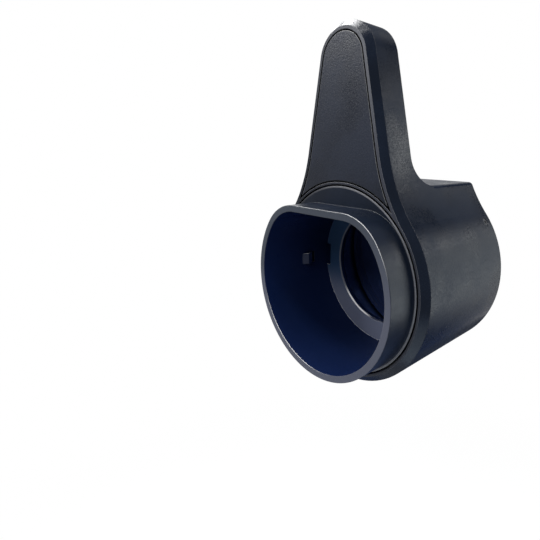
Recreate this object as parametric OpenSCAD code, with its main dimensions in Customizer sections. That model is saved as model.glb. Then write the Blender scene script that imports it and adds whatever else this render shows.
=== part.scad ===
// Wall holder for the connector of a car charging cable. A socket in front takes the connector,
// the cable hangs in the gap behind the tongue, and a plate at the back is screwed to the wall.
// The origin lies on the wall, in line with the axis of the socket. X points right as seen from
// the front, Y points into the wall and Z points up.

/* [Socket] */
// Inside width of the socket
socket_d = 65; // [60:0.5:68]
// Height of the flat roof inside the socket, above the axis
socket_flat = 25.75; // [24:0.25:27]
// Inside radius of the two roof corners
socket_corner_r = 16.4; // [10:0.2:18]
// Wall of the sleeve in front of the housing
socket_wall = 2.5; // [2:0.1:3]
// Depth from the rim to the shoulder that stops the connector
socket_depth = 35.8; // [32:0.2:42]
// Thickness of the shoulder ring
shoulder_t = 2.5; // [2:0.1:4]
// Hole through the shoulder ring
neck_d = 47.2; // [40:0.2:52]
// Bevel on the front edge of that hole
neck_bevel = 0.5; // [0.2:0.1:1]
// Reach of the sleeve in front of the housing's face
sleeve_reach = 12.4; // [10:0.1:16]
// Thickness of the round plate that carries the sleeve
cover_t = 2.5; // [2:0.1:3]
// Lip of that plate round the sleeve
cover_lip = 0.8; // [0.5:0.1:1.2]
// Gap round that plate, in the face of the housing
cover_gap = 0.7; // [0.4:0.1:1]
// Step from the sleeve to the barrel behind it, which seats the insert
seat_step = 0.8; // [0.6:0.1:1]
// Clearance between the barrel and the housing
barrel_gap = 0.3; // [0.2:0.05:0.4]

/* [Connector catches] */
// Start of the ramp, behind the rim
catch_start = 20.6; // [19:0.1:23]
// Length of the ramp
catch_ramp = 2.6; // [2:0.1:4]
// Length of the top of the catch
catch_land = 1.9; // [0.8:0.1:2.4]
// Height of the catch off the socket wall
catch_h = 1.6; // [1:0.1:2]
// Width of the catch
catch_w = 5; // [4:0.2:7]
// Length of the window behind the catch
window_l = 2.6; // [2:0.1:3]
// Width of the notch in the shoulder ring, in line with the catch
notch_w = 10; // [7:0.5:14]
// Depth of that notch, in from the socket wall
notch_h = 2.4; // [2:0.1:4]

/* [Snap lugs] */
// Angles of the lugs that hold the insert, from the X axis
lug_angles = [-25, 205, -70, 250];
// Angle that one lug spans
lug_span = 16; // [10:1:24]
// Height of the lug beyond the bore of the housing
lug_hook = 0.8; // [0.5:0.1:1.2]
// Length of the lug's ramp
lug_l = 4; // [3:0.2:6]

/* [Housing] */
// Depth from the wall to the face
housing_depth = 54.2; // [50:0.2:62]
// Wall of the housing
housing_wall = 2.5; // [2:0.1:3]
// Thickness of the front ring that carries the insert
front_t = 5; // [4.5:0.1:7]
// Bevel round the face
chamfer = 2.5; // [2:0.1:3.4]
// Strip of the face between the socket plate and the bevel
face_strip = 0.8; // [0.6:0.1:1.4]
// Height of the shelf above the socket axis
shelf_z = 36.4; // [35:0.2:40]
// Radius of the shelf's side edges
shelf_edge_r = 2.2; // [1:0.1:2.6]

/* [Tongue] */
// Height of the tongue above the socket axis
tongue_top = 96; // [88:1:108]
// Radius of the tongue's round top
tongue_r = 14.2; // [12.5:0.1:16]
// Slope of the tongue's sides from the vertical
tongue_taper = 11; // [9:0.1:12]
// Thickness of the tongue, from the face to its back
tongue_depth = 14.7; // [13:0.1:20]
// Radius of the hollow sides between tongue and housing
flare_r = 60; // [45:1:70]
// Radius of the fillet between the tongue's back and the shelf
hook_fillet = 10; // [6:0.5:14]

/* [Front panel] */
// Strip of the face between the panel and the bevel
panel_strip = 1.2; // [0.8:0.1:2]
// Gap round the panel
panel_gap = 0.6; // [0.3:0.1:0.8]
// Thickness of the panel
panel_t = 2; // [1.6:0.1:3]
// Ledge that the panel rests on
panel_ledge = 1.6; // [1.2:0.1:2.2]
// Number of posts behind the panel
post_count = 3; // [2:1:3]
// Height of the lowest post's boss above the foot of the tongue's pocket
post_foot = 6; // [2:0.5:10]
// Diameter of a post
post_d = 4; // [3:0.2:5]
// Length of a post
post_l = 7; // [5:0.5:9]
// Clearance round a post
post_gap = 0.1; // [0.05:0.05:0.2]
// Wall of the boss round a post
post_boss_t = 1.4; // [1:0.1:1.8]
// Thickness of the ribs inside the tongue
rib_t = 1.6; // [1:0.1:2.4]

/* [Wall plate] */
// Clearance between the plate and the housing
plate_gap = 0.3; // [0.2:0.05:0.5]
// Thickness of the plate's floor
plate_t = 4; // [3:0.1:5]
// Thickness of the plate's rim
plate_rim_t = 2; // [1.6:0.1:3]
// Diameter of the wall screw holes
wall_hole_d = 4.5; // [3.5:0.1:6]
// Diameter of their countersinks
wall_sink_d = 9; // [7:0.2:11]
// Distance between the wall screw holes, sideways
wall_hole_dx = 36; // [28:1:42]
// Distance between the wall screw holes, upwards
wall_hole_dz = 36; // [28:1:42]

/* [Lock screws] */
// Angle of the lock screws above the horizontal
lock_angle = 31.6; // [10:0.2:32]
// Distance of the lock screws from the wall
lock_y = 3.9; // [3.6:0.1:5]
// Diameter of a lock screw
lock_d = 3; // [2.6:0.1:3.2]
// Length of a lock screw
lock_l = 8.5; // [7:0.5:10]
// Depth of the screw's end below the housing's surface
lock_sunk = 0.3; // [0.2:0.1:1]
// Width of the screw's hexagon socket, across its corners
lock_hex = 1.5; // [1.4:0.1:2]
// Depth of that socket
lock_hex_depth = 2; // [1.5:0.1:3]
// Clearance of the screw in the plate
lock_fit = 0.05; // [0.03:0.01:0.08]
// Clearance of the screw in the housing
lock_gap = 0.1; // [0.1:0.05:0.3]
// Wall of the boss round a lock screw
lock_boss_t = 1.85; // [1.2:0.05:1.9]
// Height of the plate's rim beyond that boss
rim_over = 0.2; // [0.2:0.1:1]

/* [Hidden] */
$fn = 96;
// Overshoot of a cut beyond the surface that it opens
over = 1;
// Overlap of lines and arcs that run into each other, so that they cross instead of just touching
blend = 0.01;
// Radii about the socket axis
sleeve_r = socket_d / 2 + socket_wall;
cover_r = sleeve_r + cover_lip;
seat_r = cover_r + cover_gap;
housing_r = seat_r + face_strip + chamfer;
barrel_grow = socket_wall - seat_step;
barrel_r = socket_d / 2 + barrel_grow;
// Planes along Y, from the front to the wall
face_y = -housing_depth;
rim_y = face_y - sleeve_reach;
crease_y = face_y + chamfer;
seat_y = face_y + cover_t;
ring_y = face_y + front_t;
tongue_back_y = face_y + tongue_depth;
recess_y = face_y + panel_t;
shoulder_y = rim_y + socket_depth;
barrel_end_y = shoulder_y + shoulder_t;
catch_y = rim_y + catch_start;
// Outline of housing and tongue: the tongue's side is a line at side_d from the axis,
// and a circle about flare_c joins it to the round housing
tongue_z = tongue_top - tongue_r;
side_n = [cos(tongue_taper), sin(tongue_taper)];
side_t = [-sin(tongue_taper), cos(tongue_taper)];
side_d = tongue_r + tongue_z * side_n.y;
flare_s = sqrt(pow(housing_r + flare_r, 2) - pow(side_d + flare_r, 2));
flare_c = side_n * (side_d + flare_r) + side_t * flare_s;
flare_cut_r = flare_r + 2 * blend;
flare_bevel_r = flare_r + 4 * blend;
// Insets of panel, recess and pocket from that outline, and their radii about the socket
recess_inset = chamfer + panel_strip;
recess_r = seat_r + face_strip;
panel_inset = recess_inset + panel_gap;
panel_r = recess_r + panel_gap;
pocket_inset = recess_inset + panel_ledge;
pocket_r = recess_r + panel_ledge;
pocket_back_y = tongue_back_y - housing_wall;
boss_r = post_d / 2 + post_gap + post_boss_t;
// Heights of the panel's posts, from the foot of the pocket to the middle of the round top,
// and of the ribs halfway between them
post_low_z = pocket_r + post_foot + boss_r;
post_pitch = (tongue_z - post_low_z) / (post_count - 1);
post_heights = [for (i = [0 : post_count - 1]) post_low_z + i * post_pitch];
rib_heights = [for (i = [0 : post_count - 2]) post_low_z + (i + 0.5) * post_pitch];
// Underside of the shelf and inset of the wall plate
roof_z = shelf_z - housing_wall;
plate_inset = housing_wall + plate_gap;
// Lock screws: outer and inner end, the boss round them and the rim that hides it
lock_end_r = housing_r - lock_sunk;
lock_root_r = lock_end_r - lock_l;
lock_boss_d = lock_d + 2 * (lock_fit + lock_boss_t);
plate_rim_h = lock_y + lock_boss_d / 2 + rim_over;
// Reach of a half plane, larger than the whole outline
reach = 2 * tongue_top;

// Point with its X turned to the given side
function on_side(p, side) = [side * p.x, p.y];

// Extrudes an outline in X and Z along Y
module along_y(y0, y1) {
  translate([0, y1, 0]) rotate([90, 0, 0]) linear_extrude(y1 - y0) children();
}

// Round bar along Y, with a second radius at its far end for a cone
module bar_y(y0, y1, r0, r1) {
  translate([0, y1, 0]) rotate([90, 0, 0]) cylinder(h = y1 - y0, r1 = r1, r2 = r0);
}

// Both sides of the plane of symmetry
module both_sides() {
  children();
  mirror([1, 0, 0]) children();
}

// Outline of the socket, grown by a wall: a circle with a flat roof and round corners
module d_shape(grow) {
  r = socket_d / 2 + grow;
  roof = socket_flat + grow;
  corner = socket_corner_r + grow;
  cz = roof - corner;
  cx = sqrt(pow(r - corner, 2) - pow(cz, 2));
  far = [cx, cz] * 2 * r / (r - corner);
  intersection() {
    circle(r = r);
    polygon([
      [cx, roof], [cx, cz], far, [far.x, -2 * r],
      [-far.x, -2 * r], [-far.x, far.y], [-cx, cz], [-cx, roof]
    ]);
  }
  for (side = [-1, 1]) translate([side * cx, cz]) circle(r = corner + blend);
}

// Corners of the straight part of the tongue's outline
function neck_points(inset) = let(
  foot = flare_c / norm(flare_c) * (housing_r - inset + over),
  bend = side_n * (side_d - inset - blend) + side_t * flare_s,
  top = [0, tongue_z] + side_n * (tongue_r - inset - blend)
) [
  [0, 0], foot, bend, top, [0, tongue_z],
  on_side(top, -1), on_side(bend, -1), on_side(foot, -1)
];

// Outline of housing and tongue, drawn in by an inset
module outline(inset) {
  circle(r = housing_r - inset);
  translate([0, tongue_z]) circle(r = tongue_r - inset);
  difference() {
    polygon(neck_points(inset));
    for (side = [-1, 1]) translate(on_side(flare_c, side)) circle(r = flare_cut_r + inset);
  }
}

// Part of the outline below a height
module outline_below(inset, z) {
  intersection() {
    outline(inset);
    translate([-reach, z - 2 * reach]) square(2 * reach);
  }
}

// Part of the tongue's outline outside a circle about the socket
module tongue_outline(inset, r) {
  difference() {
    outline(inset);
    circle(r = r);
  }
}

// Corner that is cut off at a side edge of the shelf to round it
module shelf_corner() {
  ez = shelf_z - shelf_edge_r;
  ex = flare_c.x - sqrt(pow(flare_r + shelf_edge_r, 2) - pow(flare_c.y - ez, 2));
  out = (flare_c - [ex, ez]) / (flare_r + shelf_edge_r);
  touch = [ex, ez] + out * (shelf_edge_r + over);
  difference() {
    polygon([[ex, ez], [ex, shelf_z + over], [touch.x + over, shelf_z + over], touch]);
    translate([ex, ez]) circle(r = shelf_edge_r + blend);
  }
}

// Front of housing and tongue with the bevel round its face
module bevelled_front() {
  difference() {
    union() {
      along_y(crease_y, tongue_back_y) outline(0);
      along_y(face_y, crease_y) polygon(neck_points(0));
      bar_y(face_y, crease_y, housing_r - chamfer, housing_r);
      translate([0, 0, tongue_z]) bar_y(face_y, crease_y, tongue_r - chamfer, tongue_r);
    }
    both_sides() {
      side_bevel();
      translate([flare_c.x, 0, flare_c.y])
        bar_y(face_y - over, crease_y + over, flare_bevel_r + chamfer + over, flare_bevel_r - over);
    }
  }
}

// Wedge that bevels a straight side of the tongue
module side_bevel() {
  edge = side_d - 2 * blend;
  top = tongue_z * side_n.x + tongue_r;
  translate([0, crease_y, 0]) rotate([0, -tongue_taper, 0]) translate([0, 0, flare_s])
    linear_extrude(top - flare_s)
      polygon([
        [edge + over, over],
        [edge + over, -chamfer - over],
        [edge - chamfer - over, -chamfer - over]
      ]);
}

// Fillet between the back of the tongue and the shelf
module hook_corner() {
  intersection() {
    along_y(tongue_back_y - over, 0) outline(0);
    rotate([90, 0, 90]) translate([0, 0, -housing_r]) linear_extrude(2 * housing_r)
      difference() {
        translate([tongue_back_y - over, shelf_z - over]) square(hook_fillet + over);
        translate([tongue_back_y + hook_fillet, shelf_z + hook_fillet]) circle(r = hook_fillet);
      }
  }
}

// Outer form of the housing, before it is hollowed
module housing_form() {
  bevelled_front();
  along_y(tongue_back_y, 0) difference() {
    outline_below(0, shelf_z);
    for (side = [-1, 1]) mirror([side < 0 ? 1 : 0, 0]) shelf_corner();
  }
  hook_corner();
}

// Bar along the radius of a lock screw, between two distances from the axis
module lock_bar(r0, r1, d, sides) {
  translate([0, -lock_y, 0]) rotate([0, 90 - lock_angle, 0])
    translate([0, 0, r0]) cylinder(h = r1 - r0, d = d, $fn = sides);
}

// Space inside the tongue, open to the front until the panel closes it
module tongue_pocket() {
  along_y(recess_y - over, pocket_back_y) difference() {
    tongue_outline(pocket_inset, pocket_r);
    translate([-reach, shelf_z - 2 * reach]) square(2 * reach);
  }
}

// Ribs across that space and bosses for the panel's posts
module tongue_ribs() {
  intersection() {
    along_y(recess_y, pocket_back_y) difference() {
      tongue_outline(pocket_inset, pocket_r);
      for (z = post_heights) translate([0, z]) circle(d = post_d + 2 * post_gap);
    }
    along_y(recess_y, pocket_back_y) {
      for (z = post_heights) translate([0, z]) circle(r = boss_r);
      for (z = rib_heights) translate([-housing_r, z - rib_t / 2]) square([2 * housing_r, rib_t]);
    }
  }
}

// Moulded shell with the tongue that the cable hangs behind
module housing() {
  color([0.16, 0.17, 0.2]) {
    difference() {
      housing_form();
      bar_y(face_y - over, seat_y, seat_r, seat_r);
      along_y(seat_y - over, ring_y + over) d_shape(barrel_grow + barrel_gap);
      along_y(ring_y, over) outline_below(housing_wall, roof_z);
      along_y(face_y - over, recess_y) tongue_outline(recess_inset, recess_r);
      tongue_pocket();
      both_sides() lock_bar(lock_root_r, housing_r + over, lock_d + 2 * lock_gap, $fn);
    }
    tongue_ribs();
  }
}

// Panel let into the face of the tongue
module front_panel() {
  color([0.2, 0.21, 0.25]) {
    along_y(face_y, recess_y) tongue_outline(panel_inset, panel_r);
    for (z = post_heights) translate([0, 0, z])
      bar_y(recess_y, recess_y + post_l, post_d / 2, post_d / 2);
  }
}

// Ramp that drops into the connector's side window
module connector_catch() {
  wall_x = socket_d / 2;
  translate([0, 0, -catch_w / 2]) linear_extrude(catch_w)
    polygon([
      [wall_x + barrel_grow / 2, catch_y],
      [wall_x, catch_y],
      [wall_x - catch_h, catch_y + catch_ramp],
      [wall_x - catch_h, catch_y + catch_ramp + catch_land],
      [wall_x + barrel_grow / 2, catch_y + catch_ramp + catch_land]
    ]);
}

// Lug that snaps behind the housing's front ring
module snap_lug() {
  tip_r = barrel_r + barrel_gap + lug_hook;
  root_r = barrel_r - barrel_grow / 2;
  root_l = lug_l * (tip_r - root_r) / (tip_r - barrel_r);
  translate([0, ring_y, 0]) rotate([-90, 0, 0]) rotate([0, 0, -lug_span / 2])
    rotate_extrude(angle = lug_span) polygon([[root_r, 0], [tip_r, 0], [root_r, root_l]]);
}

// Sleeve and barrel that take the connector
module socket_insert() {
  window_y = catch_y + catch_ramp + catch_land;
  color([0.13, 0.14, 0.17]) {
    difference() {
      union() {
        along_y(rim_y, seat_y) d_shape(socket_wall);
        along_y(face_y, seat_y) circle(r = cover_r);
        along_y(seat_y - over, barrel_end_y) d_shape(barrel_grow);
        for (angle = lug_angles) rotate([0, -angle, 0]) snap_lug();
      }
      along_y(rim_y - over, shoulder_y) d_shape(0);
      bar_y(shoulder_y - over, barrel_end_y + over, neck_d / 2, neck_d / 2);
      bar_y(shoulder_y, shoulder_y + neck_bevel, neck_d / 2 + neck_bevel, neck_d / 2);
      both_sides() {
        translate([socket_d / 2 - notch_h, shoulder_y - over, -notch_w / 2])
          cube([notch_h, shoulder_t + 2 * over, notch_w]);
        translate([0, window_y, -catch_w / 2]) cube([sleeve_r + over, window_l, catch_w]);
      }
    }
    both_sides() connector_catch();
  }
}

// Plate that is screwed to the wall and carries the housing
module wall_plate() {
  floor_y = -plate_t;
  sink_l = (wall_sink_d - wall_hole_d) / 2;
  color([0.1, 0.11, 0.13]) difference() {
    union() {
      difference() {
        along_y(-plate_rim_h, 0) outline_below(plate_inset, roof_z - plate_gap);
        along_y(-plate_rim_h - over, floor_y)
          outline_below(plate_inset + plate_rim_t, roof_z - plate_gap - plate_rim_t);
      }
      both_sides()
        lock_bar(lock_root_r, housing_r - plate_inset - plate_rim_t / 2, lock_boss_d, $fn);
    }
    both_sides() lock_bar(lock_root_r - over, housing_r, lock_d + 2 * lock_fit, $fn);
    for (sx = [-1, 1], sz = [-1, 1])
      translate([sx * wall_hole_dx / 2, 0, sz * wall_hole_dz / 2]) {
        bar_y(floor_y - over, over, wall_hole_d / 2, wall_hole_d / 2);
        bar_y(floor_y, floor_y + sink_l, wall_sink_d / 2, wall_hole_d / 2);
      }
  }
}

// Headless screws that lock the housing onto the wall plate
module lock_screws() {
  color([0.3, 0.3, 0.32]) both_sides() difference() {
    lock_bar(lock_root_r, lock_end_r, lock_d, $fn);
    lock_bar(lock_end_r - lock_hex_depth, lock_end_r + over, lock_hex, 6);
  }
}

housing();
front_panel();
socket_insert();
wall_plate();
lock_screws();
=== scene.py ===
"""Looks of the connector holder: moulded black plastic in soft studio light."""
import math

import bpy
from mathutils import Matrix, Quaternion, Vector


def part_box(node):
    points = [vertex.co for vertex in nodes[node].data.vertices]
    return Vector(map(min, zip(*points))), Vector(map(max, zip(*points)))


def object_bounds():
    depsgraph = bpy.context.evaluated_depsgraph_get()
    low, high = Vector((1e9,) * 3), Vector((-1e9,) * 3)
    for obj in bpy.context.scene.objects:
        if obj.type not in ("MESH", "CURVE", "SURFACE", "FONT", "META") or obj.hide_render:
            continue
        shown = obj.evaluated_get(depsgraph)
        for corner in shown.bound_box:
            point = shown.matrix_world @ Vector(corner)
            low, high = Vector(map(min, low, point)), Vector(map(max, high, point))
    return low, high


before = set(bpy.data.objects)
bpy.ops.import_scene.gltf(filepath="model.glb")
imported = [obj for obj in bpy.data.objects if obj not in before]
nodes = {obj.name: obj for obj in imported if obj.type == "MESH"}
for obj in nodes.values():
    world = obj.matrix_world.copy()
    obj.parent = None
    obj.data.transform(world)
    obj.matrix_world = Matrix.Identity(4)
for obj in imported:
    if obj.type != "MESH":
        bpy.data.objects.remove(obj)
cad_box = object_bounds()
scene = bpy.context.scene
MM = 0.001

# Places on the part in millimetres. The wall is y = 0, and the socket's axis is x = z = 0.
FACE_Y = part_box("housing")[0].y / MM
TONGUE_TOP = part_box("housing")[1].z / MM
RIM_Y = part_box("socket_insert")[0].y / MM
COVER_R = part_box("socket_insert")[1].x / MM
COVER_LIP = 0.8
SHOULDER_T = 2.5
SHOULDER_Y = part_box("socket_insert")[1].y / MM - SHOULDER_T
WALL_PLATE_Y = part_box("wall_plate")[0].y / MM

# A ramp goes from 0 at its first limit to 1 at its second, or from its third number to its fourth.
# A band is 1 between its two limits and 0 elsewhere, and its third number is how soft they are.
# Limits of a place are in millimetres, and limits of a normal have no unit.
TOWARDS_FRONT = (-0.3, -0.6)
STRAIGHT_FRONT = (-0.8, -0.95)
TOWARDS_AXIS = (-2.0, -6.0)
LEFT_TO_RIGHT = (-28.0, 12.0)


class Graph:
    """Small helper to write a node tree from code."""

    # Places of the colours among the sockets of a Mix node
    COLOUR_A, COLOUR_B, COLOUR_OUT = 6, 7, 2

    def __init__(self, tree):
        self.tree = tree
        tree.nodes.clear()

    def add(self, kind, **settings):
        node = self.tree.nodes.new(kind)
        for name, value in settings.items():
            setattr(node, name, value)
        return node

    def link(self, value, socket):
        if isinstance(value, bpy.types.NodeSocket):
            self.tree.links.new(value, socket)
        else:
            socket.default_value = value

    def math(self, operation, a, b=0.0):
        node = self.add("ShaderNodeMath", operation=operation)
        self.link(a, node.inputs[0])
        self.link(b, node.inputs[1])
        return node.outputs[0]

    def times(self, product, *others):
        """Product of all the values."""
        for other in others:
            product = self.math("MULTIPLY", product, other)
        return product

    def dot(self, a, b):
        node = self.add("ShaderNodeVectorMath", operation="DOT_PRODUCT")
        self.link(a, node.inputs[0])
        self.link(b, node.inputs[1])
        return node.outputs["Value"]

    def split(self, vector):
        """The three components of a vector."""
        node = self.add("ShaderNodeSeparateXYZ")
        self.link(vector, node.inputs[0])
        return node.outputs["X"], node.outputs["Y"], node.outputs["Z"]

    def ramp(self, value, low, high, out_low=0.0, out_high=1.0):
        """Soft change from one output to the other while the value goes from low to high."""
        node = self.add("ShaderNodeMapRange", interpolation_type="SMOOTHSTEP")
        self.link(value, node.inputs["Value"])
        node.inputs["From Min"].default_value = low
        node.inputs["From Max"].default_value = high
        node.inputs["To Min"].default_value = out_low
        node.inputs["To Max"].default_value = out_high
        return node.outputs["Result"]

    def band(self, value, low, high, soft):
        """1 where the value lies between two limits, with soft ends."""
        above = self.ramp(value, low - soft, low + soft)
        below = self.ramp(value, high + soft, high - soft)
        return self.times(above, below)

    def mix(self, share, a, b):
        """Colour that goes from a to b with the share."""
        node = self.add("ShaderNodeMix", data_type="RGBA")
        self.link(share, node.inputs["Factor"])
        for colour, place in ((a, self.COLOUR_A), (b, self.COLOUR_B)):
            is_socket = isinstance(colour, bpy.types.NodeSocket)
            self.link(colour if is_socket else (*colour, 1.0), node.inputs[place])
        return node.outputs[self.COLOUR_OUT]

    def grade(self, value, limits, a, b):
        """Colour that goes from a to b while the value goes through the limits."""
        return self.mix(self.ramp(value, *limits), a, b)

    def noise(self, place, scale, detail, roughness=0.55):
        node = self.add("ShaderNodeTexNoise")
        self.link(place, node.inputs["Vector"])
        node.inputs["Scale"].default_value = scale
        node.inputs["Detail"].default_value = detail
        node.inputs["Roughness"].default_value = roughness
        return node.outputs["Fac"]


class Surface:
    """Place of the shaded point and its normal, in the CAD's frame. Places are in millimetres, apart from
    metres. The turn is below 0 on a face that looks towards the socket's axis."""

    def __init__(self, graph):
        source = graph.add("ShaderNodeTexCoord")
        self.metres = source.outputs["Object"]
        self.x, self.y, self.z = (graph.math("DIVIDE", part, MM) for part in graph.split(self.metres))
        self.normal_x, self.normal_y, self.normal_z = graph.split(source.outputs["Normal"])
        square = graph.math("ADD", graph.times(self.x, self.x), graph.times(self.z, self.z))
        self.radius = graph.math("SQRT", square)
        across, up = graph.times(self.x, self.normal_x), graph.times(self.z, self.normal_z)
        self.turn = graph.math("ADD", across, up)


def new_material(name):
    """Material with an empty node tree, and the helper that writes the tree."""
    material = bpy.data.materials.new(name)
    material.use_nodes = True
    return material, Graph(material.node_tree)


# Painted shade in the gaps round the front panel and round the cover, the socket's round plate: their
# walls are darkened
GAP_DEPTH = (FACE_Y - 0.2, FACE_Y + 1.7, 0.2)
GAP_WALL = (-0.3, 0.3, 0.05)
GAP_RADIUS = (COVER_R - 0.6, COVER_R - 0.3)
GAP_HEIGHT = (-28.0, -8.0, 0.3, 1.0)
GAP_SHADE_TONE = 0.15
GAP_ROUGHNESS = 0.4


def painted_gap_shade(graph, at):
    """Mask of the painted shade on the walls in the gaps, fainter under the sleeve."""
    depth = graph.band(at.y, *GAP_DEPTH)
    wall = graph.band(at.normal_y, *GAP_WALL)
    return graph.times(depth, wall, graph.ramp(at.radius, *GAP_RADIUS), graph.ramp(at.z, *GAP_HEIGHT))


# Lighter edges with a painted highlight. The pairs are the way that a highlighted edge faces, and a ramp
# on how near the edge comes to it. The first gives every front edge a quarter share and the rest as
# painted highlight; the rim's is painted highlight only.
EDGE_HIGHLIGHT = ((0.52, -0.55, 0.65), (0.5, 0.9, 0.25, 1.0))
RIM_EDGE_HIGHLIGHT = ((0.42, -0.58, 0.70), (0.78, 0.94, 0.0, 1.0))
EDGE_BEND = (0.99, 0.9)
EDGE_SAMPLES = 8
EDGE_POLISH = 0.14


def front_edge_reach(graph, at):
    """Only edges at the front are lightened, with the painted highlight."""
    return graph.ramp(at.normal_y, *TOWARDS_FRONT)


def lit_edge_mask(graph, rounded, where_lit, highlight_way):
    """Mask of the lightened edges, where the rounded normal leaves the flat one, strongest as a painted
    highlight where the rounded normal meets the highlight's way.
    """
    way, nearness = highlight_way
    flat = graph.add("ShaderNodeNewGeometry").outputs["Normal"]
    bent = graph.ramp(graph.dot(rounded, flat), *EDGE_BEND)
    return graph.times(bent, where_lit, graph.ramp(graph.dot(rounded, way), *nearness))


# Moulded surface: clouds and specks per metre, and how far they change tone, roughness and height
CLOUD_SCALE, CLOUD_DETAIL = 60.0, 4.0
CLOUD_TONE, CLOUD_ROUGHNESS = 0.18, 0.07
SPECK_SCALE, SPECK_DETAIL = 1700.0, 2.0
SPECK_ROUGHNESS, SPECK_HEIGHT = 0.12, 0.08 * MM
NOISE_MIDDLE = (0.35, 0.65)
NOISE_WIDE = (0.3, 0.7)


def plastic(name, colour, edge_colour, rough, grain, specular, edge_r=0.5 * MM, highlight_way=EDGE_HIGHLIGHT,
            paint=None, finish=None, edge_reach=front_edge_reach):
    """Moulded surface: fine spark-eroded grain, faint cloudy tone, painted shade in the gaps, and rounded
    edges lightened with a painted highlight. By the object's own place and normal, paint gives some faces
    another colour, here painted light and shade, finish another polish, and the edge reach how much edges
    are lightened."""
    material, graph = new_material(name)
    out = graph.add("ShaderNodeOutputMaterial")
    shader = graph.add("ShaderNodeBsdfPrincipled")
    shader.inputs["Specular IOR Level"].default_value = specular
    graph.link(shader.outputs[0], out.inputs["Surface"])
    at = Surface(graph)
    cloud = graph.noise(at.metres, CLOUD_SCALE, CLOUD_DETAIL)
    speck = graph.noise(at.metres, SPECK_SCALE, SPECK_DETAIL)
    gap = painted_gap_shade(graph, at)
    bevel = graph.add("ShaderNodeBevel", samples=EDGE_SAMPLES)
    bevel.inputs["Radius"].default_value = edge_r
    rounded = bevel.outputs[0]
    # Painted highlight: edges lighter, most where they face the highlight's way
    edge = lit_edge_mask(graph, rounded, edge_reach(graph, at), highlight_way)

    darker, lighter = ([share * c for c in colour] for share in (1 - CLOUD_TONE, 1 + CLOUD_TONE))
    tone = graph.grade(cloud, NOISE_MIDDLE, darker, lighter)
    if paint:
        tone = paint(graph, at, tone)
    # Painted shade: the walls in the gaps take a darker share of the colour
    tone = graph.mix(gap, tone, [GAP_SHADE_TONE * c for c in colour])
    graph.link(graph.mix(edge, tone, edge_colour), shader.inputs["Base Color"])

    clouded = graph.ramp(cloud, *NOISE_WIDE, rough - CLOUD_ROUGHNESS, rough + CLOUD_ROUGHNESS)
    specked = graph.ramp(speck, *NOISE_MIDDLE, -SPECK_ROUGHNESS * grain, SPECK_ROUGHNESS * grain)
    roughness = graph.math("ADD", clouded, specked)
    if finish:
        roughness = finish(graph, at, roughness)
    roughness = graph.math("ADD", roughness, graph.times(gap, GAP_ROUGHNESS))
    roughness = graph.math("SUBTRACT", roughness, graph.times(edge, EDGE_POLISH))
    graph.link(roughness, shader.inputs["Roughness"])

    bump = graph.add("ShaderNodeBump")
    bump.inputs["Strength"].default_value = grain
    bump.inputs["Distance"].default_value = SPECK_HEIGHT
    graph.link(speck, bump.inputs["Height"])
    graph.link(rounded, bump.inputs["Normal"])
    graph.link(bump.outputs[0], shader.inputs["Normal"])
    return material


# Housing: the strip of its face round the panel with a painted highlight, its hollow with painted light,
# bevel, underside and tongue top
STRIP_NORMAL = (-0.9, -0.98)
STRIP_DEPTH = (FACE_Y + 1.2, FACE_Y + 0.2)
STRIP_HEIGHT = (35.0, 85.0)
# Painted highlight on the strip: dim at the left, brighter to the top and the right
STRIP_UNLIT_LEFT = (0.012, 0.014, 0.020)
STRIP_SHEEN_LOW = (0.034, 0.037, 0.048)
STRIP_SHEEN_HIGH = (0.080, 0.083, 0.094)
HOLLOW_DEPTH = (WALL_PLATE_Y - 0.5, WALL_PLATE_Y - 4.5)
# Painted light: inner faces of the hollow, which light hardly reaches, are a bright navy
HOLLOW_LIGHT_NAVY = (0.05, 0.09, 0.27)
BEVEL_NORMAL = (-0.83, -0.58, 0.08)
BEVEL_POLISH = 0.1
NOT_FRONT = (-0.5, -0.3)
DOWNWARD = (-0.42, -0.58)
UPWARD = (0.5, 0.8)
TONGUE_HEIGHT = (TONGUE_TOP - 36.0, TONGUE_TOP - 21.0)
COARSE = 0.35


def paint_housing(graph, at, tone):
    """Painted highlight on the narrow strip of the face, brighter to the top and the right, and painted
    light in the hollow, which is navy.
    """
    # Painted highlight on the strip, brighter to the top and the right
    strip = graph.times(graph.ramp(at.normal_y, *STRIP_NORMAL), graph.ramp(at.y, *STRIP_DEPTH))
    strip_sheen = graph.grade(at.z, STRIP_HEIGHT, STRIP_SHEEN_LOW, STRIP_SHEEN_HIGH)
    tone = graph.mix(strip, tone, graph.grade(at.x, LEFT_TO_RIGHT, STRIP_UNLIT_LEFT, strip_sheen))
    # Painted light in the hollow: navy on its inner faces
    hollow = graph.times(graph.ramp(at.turn, *TOWARDS_AXIS), graph.ramp(at.y, *HOLLOW_DEPTH))
    return graph.mix(hollow, tone, HOLLOW_LIGHT_NAVY)


def finish_housing(graph, at, roughness):
    """Polished bevel, coarser underside and tongue top."""
    bevel = graph.band(at.normal_y, *BEVEL_NORMAL)
    top = graph.times(graph.ramp(at.normal_z, *UPWARD), graph.ramp(at.z, *TONGUE_HEIGHT))
    underside = graph.ramp(at.normal_z, *DOWNWARD)
    coarse = graph.times(graph.math("ADD", underside, top), graph.ramp(at.normal_y, *NOT_FRONT))
    roughness = graph.math("ADD", roughness, graph.times(coarse, COARSE))
    return graph.math("SUBTRACT", roughness, graph.times(bevel, BEVEL_POLISH))


# Socket, with painted light and shade in its colours: its barrel with slopes and the neck's edge, its rim,
# the lip of its cover and the shoulder ring
BARREL_HEIGHT = (-8.0, 18.0)
# Painted light: the barrel is lighter and bluer low, where light from the front reaches
BARREL_LIT_LOW = (0.0040, 0.0100, 0.0420)
BARREL_SHADED_HIGH = (0.0022, 0.0055, 0.0250)
SLOPE_NORMAL = (-0.75, -0.45, 0.03)
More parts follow.
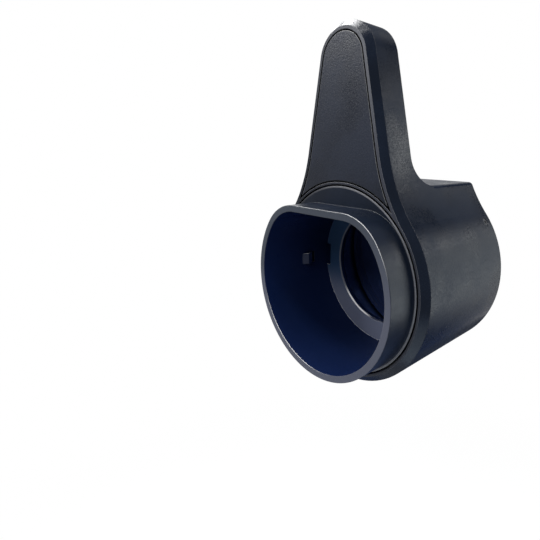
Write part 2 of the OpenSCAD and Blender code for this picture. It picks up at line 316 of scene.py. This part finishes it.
# Painted light: slopes inside the barrel, lighter grey as if they catch the light
SLOPE_LIT_GREY = (0.025, 0.031, 0.056)
NECK_DEPTH = (SHOULDER_Y - 3.2, SHOULDER_Y - 2.2)
NECK_RIGHTWARD = (0.1, 0.25)
NECK_HEIGHT = (-17.0, -12.0)
# Painted highlight on the neck's edge: near white low, faint high
NECK_GLINT_LOW = (0.85, 0.86, 0.88)
NECK_GLINT_HIGH = (0.10, 0.11, 0.14)
RIM_DEPTH = (RIM_Y + 2.6, RIM_Y + 0.6)
RIM_HEIGHT = (-5.0, 30.0)
RIM_LEFTWARD = (-15.0, -28.0)
RIM_LEFT_HEIGHT = (-8.0, 4.0)
# Painted light and shade on the rim face: lighter low, darker at the top and the upper left
RIM_LIT_LOW = (0.060, 0.065, 0.088)
RIM_SHADED_HIGH = (0.033, 0.039, 0.051)
LIP_RADIUS = (COVER_R - COVER_LIP, COVER_R - COVER_LIP + 0.3)
# Painted highlight on the lip of the cover: dim at the left, bright to the right
LIP_UNLIT_LEFT = (0.010, 0.012, 0.018)
LIP_SHEEN_RIGHT = (0.125, 0.128, 0.142)
RING_DEPTH = (SHOULDER_Y - 5.2, SHOULDER_Y - 1.2)
RING_HEIGHT = (-20.0, -3.0)
# Painted light and shadow on the shoulder ring: lit low, in the sleeve's shadow high
RING_LIT_LOW = (0.115, 0.13, 0.19)
RING_SHADOWED_HIGH = (0.02, 0.045, 0.10)


def paint_socket(graph, at, tone):
    """Navy-black barrel, lighter low, and lighter grey slopes, as painted light; painted highlight on the
    neck's edge; rim lighter low and darker at the top and upper left, as painted light and shade; painted
    highlight on the lip to the right; shoulder ring lit low and shadowed high.
    """
    inside = graph.ramp(at.turn, *TOWARDS_AXIS)
    # Painted light: barrel lighter low
    tone = graph.mix(inside, tone, graph.grade(at.z, BARREL_HEIGHT, BARREL_LIT_LOW, BARREL_SHADED_HIGH))
    slope = graph.times(inside, graph.band(at.normal_y, *SLOPE_NORMAL))
    # Painted light on the slopes
    tone = graph.mix(slope, tone, SLOPE_LIT_GREY)
    # Painted highlight on the neck's edge
    neck = graph.times(slope, graph.ramp(at.y, *NECK_DEPTH), graph.ramp(at.normal_x, *NECK_RIGHTWARD))
    tone = graph.mix(neck, tone, graph.grade(at.z, NECK_HEIGHT, NECK_GLINT_LOW, NECK_GLINT_HIGH))
    front = graph.ramp(at.normal_y, *STRAIGHT_FRONT)
    rim = graph.times(front, graph.ramp(at.y, *RIM_DEPTH))
    # Painted shade on the rim's top and upper left
    upper_left = graph.times(graph.ramp(at.x, *RIM_LEFTWARD), graph.ramp(at.z, *RIM_LEFT_HEIGHT))
    rim_height = graph.math("MAXIMUM", graph.ramp(at.z, *RIM_HEIGHT), upper_left)
    tone = graph.mix(rim, tone, graph.mix(rim_height, RIM_LIT_LOW, RIM_SHADED_HIGH))
    # Painted highlight on the lip, brighter to the right
    lip = graph.times(front, graph.ramp(at.radius, *LIP_RADIUS))
    tone = graph.mix(lip, tone, graph.grade(at.x, LEFT_TO_RIGHT, LIP_UNLIT_LEFT, LIP_SHEEN_RIGHT))
    # Painted light low and painted shadow high on the shoulder ring
    ring = graph.times(front, graph.ramp(at.y, *RING_DEPTH))
    return graph.mix(ring, tone, graph.grade(at.z, RING_HEIGHT, RING_LIT_LOW, RING_SHADOWED_HIGH))


# Where the socket's edges get the painted highlight
RIM_EDGES = (RIM_Y + 1.4, RIM_Y + 0.8)
RIM_BOTTOM_HEIGHT = (-18.0, -24.0)
RIM_BOTTOM_RIGHTWARD = (-8.0, 2.0)
COVER_DEPTH = (FACE_Y - 5.8, FACE_Y + 9.2, 5.0)
COVER_HIGHLIGHT_SHARE = 0.15


def socket_edge_reach(graph, at):
    """Painted highlight round the rim's edges except at the bottom, and on the other front edges such as
    the ring's hole, hardly any on the cover.
    """
    bottom = graph.times(graph.ramp(at.z, *RIM_BOTTOM_HEIGHT), graph.ramp(at.x, *RIM_BOTTOM_RIGHTWARD))
    rim = graph.times(graph.ramp(at.y, *RIM_EDGES), graph.math("SUBTRACT", 1.0, bottom))
    elsewhere = graph.ramp(graph.band(at.y, *COVER_DEPTH), 0.0, 1.0, 1.0, COVER_HIGHLIGHT_SHARE)
    return graph.math("MAXIMUM", rim, graph.times(front_edge_reach(graph, at), elsewhere))


# Wall plate: its edge and the side towards the room are navy, as painted light where light hardly reaches
PLATE_RADIUS = (30.0, 32.0)
NOT_BACK = (0.8, 0.5)
# Painted light: a bright navy on faces inside the housing, which light hardly reaches
PLATE_LIGHT_NAVY = (0.03, 0.05, 0.15)


def paint_wall_plate(graph, at, tone):
    """Painted light: navy towards the inside of the housing, black at the wall and in the screw holes."""
    outer = graph.times(graph.ramp(at.radius, *PLATE_RADIUS), graph.ramp(at.normal_y, *NOT_BACK))
    inside = graph.math("MAXIMUM", outer, graph.ramp(at.normal_y, *TOWARDS_FRONT))
    # Painted light on the plate's inner faces
    return graph.mix(inside, tone, PLATE_LIGHT_NAVY)


# Finish of each piece, with colours in linear values
BLACK = (0.0048, 0.0080, 0.0160)
PANEL_BLACK = (0.0048, 0.0076, 0.0160)
SCREW_GREY = (0.06, 0.062, 0.07)
# Edge colours that the edge mask mixes in: a lightening and a painted highlight; on the screws the same
# mask darkens the edges
HOUSING_EDGE = (0.20, 0.202, 0.21)
PANEL_EDGE = (0.20, 0.202, 0.206)
SOCKET_EDGE_HIGHLIGHT = (0.65, 0.652, 0.66)
PLATE_EDGE = (0.03, 0.03, 0.03)
SCREW_EDGE = (0.02, 0.02, 0.02)
looks = {
    "housing": plastic("moulded_shell", BLACK, HOUSING_EDGE, rough=0.34, grain=0.5, specular=0.06,
                       edge_r=0.3 * MM, paint=paint_housing, finish=finish_housing),
    "front_panel": plastic("grained_panel", PANEL_BLACK, PANEL_EDGE, rough=0.38, grain=0.8, specular=0.18),
    "socket_insert": plastic("socket", BLACK, SOCKET_EDGE_HIGHLIGHT, rough=0.36, grain=0.3, specular=0.1,
                             highlight_way=RIM_EDGE_HIGHLIGHT, paint=paint_socket, edge_reach=socket_edge_reach),
    "wall_plate": plastic("back_plate", BLACK, PLATE_EDGE, rough=0.55, grain=0.3, specular=0.06,
                          paint=paint_wall_plate),
    "lock_screws": plastic("dark_steel", SCREW_GREY, SCREW_EDGE, rough=0.45, grain=0.2, specular=0.1,
                           edge_r=0.1 * MM),
}
for name, material in looks.items():
    node = nodes[name]
    node.data.materials.clear()
    node.data.materials.append(material)

# Studio, in metres
WHITE = (1.0, 1.0, 1.0)
COOL_WHITE = (0.90, 0.98, 1.0)
BLUE_WHITE = (0.70, 0.85, 1.0)
LOW_NAVY = (0.05, 0.07, 0.16)
BACK_NAVY = (0.05, 0.06, 0.13)
FLOOR_GREY = (0.85, 0.85, 0.85)
FLOOR_HALF = 4.0
FLOOR_Z = -0.45
FLOOR_WHITE = (0.5, 0.8, 0.8, 1.0)
WORLD_LEVEL = 0.5


def sheet(name, half_x, half_y, z=0.0):
    """Flat rectangle for the floor and the cards."""
    corners = [(-half_x, -half_y, z), (half_x, -half_y, z), (half_x, half_y, z), (-half_x, half_y, z)]
    mesh = bpy.data.meshes.new(name)
    mesh.from_pydata(corners, [], [(0, 1, 2, 3)])
    item = bpy.data.objects.new(name, mesh)
    scene.collection.objects.link(item)
    return item


def matt(graph, colour):
    """Plain diffuse shader."""
    shader = graph.add("ShaderNodeBsdfDiffuse")
    shader.inputs["Color"].default_value = (*colour, 1.0)
    return shader.outputs[0]


def seen_directly(graph):
    """1 for what the camera sees, straight, in a reflection or through a clear piece."""
    path = graph.add("ShaderNodeLightPath")
    bounced = graph.math("MAXIMUM", path.outputs["Is Glossy Ray"], path.outputs["Is Transmission Ray"])
    return graph.math("MAXIMUM", bounced, path.outputs["Is Camera Ray"])


def pale_floor():
    """Floor well below the holder, which hangs on a wall. It looks white and keeps some of the shadow."""
    floor = sheet("floor", FLOOR_HALF, FLOOR_HALF, FLOOR_Z)
    material, graph = new_material("floor")
    away = graph.add("ShaderNodeVectorMath", operation="LENGTH")
    graph.link(graph.add("ShaderNodeTexCoord").outputs["Object"], away.inputs[0])
    white = graph.ramp(away.outputs["Value"], *FLOOR_WHITE)
    mix = graph.add("ShaderNodeMixShader")
    graph.link(graph.times(seen_directly(graph), white), mix.inputs[0])
    graph.link(matt(graph, FLOOR_GREY), mix.inputs[1])
    graph.link(graph.add("ShaderNodeEmission").outputs[0], mix.inputs[2])
    graph.link(mix.outputs[0], graph.add("ShaderNodeOutputMaterial").inputs["Surface"])
    floor.data.materials.append(material)


def white_world():
    """White behind the holder and in its reflections, and a plain level for the rest of the light."""
    world = bpy.data.worlds.new("studio")
    scene.world = world
    world.use_nodes = True
    graph = Graph(world.node_tree)
    back = graph.add("ShaderNodeBackground")
    back.inputs["Color"].default_value = (*WHITE, 1.0)
    graph.link(graph.ramp(seen_directly(graph), 0.0, 1.0, WORLD_LEVEL, 1.0), back.inputs["Strength"])
    graph.link(back.outputs[0], graph.add("ShaderNodeOutputWorld").inputs["Surface"])


def facing(direction, distance, tilt=0):
    """Place away from the middle of the holder, turned towards it. The direction is two angles in degrees:
    round the holder, from X, and up."""
    middle = (Vector(cad_box[0]) + Vector(cad_box[1])) / 2
    turn, rise = (math.radians(angle) for angle in direction)
    way = Vector((math.cos(turn) * math.cos(rise), math.sin(turn) * math.cos(rise), math.sin(rise)))
    pose = way.to_track_quat("Z", "Y") @ Quaternion((0.0, 0.0, 1.0), math.radians(tilt))
    return Matrix.Translation(middle + way * distance) @ pose.to_matrix().to_4x4()


def card(name, direction, distance, size, colour):
    """Studio card that only reflections see. It darkens faces that would mirror the white surroundings."""
    item = sheet(name, size[0] / 2, size[1] / 2)
    item.matrix_world = facing(direction, distance)
    item.visible_camera = item.visible_diffuse = item.visible_shadow = False
    material, graph = new_material(name)
    graph.link(matt(graph, colour), graph.add("ShaderNodeOutputMaterial").inputs["Surface"])
    item.data.materials.append(material)


def lamp(name, direction, distance, size, power, tilt=0, colour=WHITE):
    """Softbox turned towards the middle of the holder."""
    data = bpy.data.lights.new(name, "AREA")
    data.shape = "RECTANGLE"
    data.size, data.size_y = size
    data.energy = power
    data.color = colour
    light = bpy.data.objects.new(name, data)
    light.matrix_world = facing(direction, distance, tilt)
    scene.collection.objects.link(light)


# Camera of the photograph, fitted to edges in it: pixels, degrees and millimetres
PICTURE_PX = 540
FOCAL_PX = 417.02
LENS_MIDDLE_PX = (350, 203)
YAW, PITCH, ROLL = 44.056, 7.210, 0.770
EYE = (111.10, -163.86, 49.22)
SENSOR = 36.0
CLIP = (0.01, 20.0)


def camera():
    """Camera at the photograph's place, to the right of the socket's axis and a little above it."""
    data = bpy.data.cameras.new("camera")
    data.sensor_width = SENSOR
    data.lens = FOCAL_PX / PICTURE_PX * SENSOR
    data.shift_x = (PICTURE_PX / 2 - LENS_MIDDLE_PX[0]) / PICTURE_PX
    data.shift_y = (LENS_MIDDLE_PX[1] - PICTURE_PX / 2) / PICTURE_PX
    data.clip_start, data.clip_end = CLIP
    yaw, pitch, roll = (math.radians(angle) for angle in (YAW, PITCH, ROLL))
    back = Vector((math.sin(yaw) * math.cos(pitch), -math.cos(yaw) * math.cos(pitch), math.sin(pitch)))
    level = Vector((math.cos(yaw), math.sin(yaw), 0.0))
    upright = back.cross(level)
    right = math.cos(roll) * level + math.sin(roll) * upright
    up = math.cos(roll) * upright - math.sin(roll) * level
    turned = Matrix((right, up, back)).transposed().to_4x4()
    eye = bpy.data.objects.new("camera", data)
    eye.matrix_world = Matrix.Translation(Vector(EYE) * MM) @ turned
    scene.collection.objects.link(eye)
    scene.camera = eye


pale_floor()
white_world()
card("low_card", direction=(102, -62), distance=0.4, size=(0.62, 0.34), colour=LOW_NAVY)
card("back_card", direction=(80, 28), distance=0.9, size=(0.6, 0.36), colour=BACK_NAVY)
lamp("top_left", direction=(178, 65), distance=0.6, size=(0.06, 0.46), power=3.6, tilt=-36)
lamp("left", direction=(149, 32), distance=0.7, size=(0.12, 0.16), power=0.3)
lamp("front_top", direction=(-85, 70), distance=0.6, size=(0.14, 0.1), power=1.4)
lamp("front", direction=(-72, 36), distance=0.7, size=(0.2, 0.2), power=1.4)
lamp("front_left", direction=(-133, 30), distance=0.8, size=(0.3, 0.3), power=4.0)
lamp("low_right", direction=(-35, -55), distance=0.45, size=(0.14, 0.3), power=0.65, colour=BLUE_WHITE)
lamp("side", direction=(53, 18), distance=0.75, size=(0.14, 0.14), power=0.65)
lamp("back_right", direction=(50, -6), distance=0.75, size=(0.26, 0.66), power=2.9, colour=COOL_WHITE)
camera()
scene.view_settings.view_transform = "Standard"
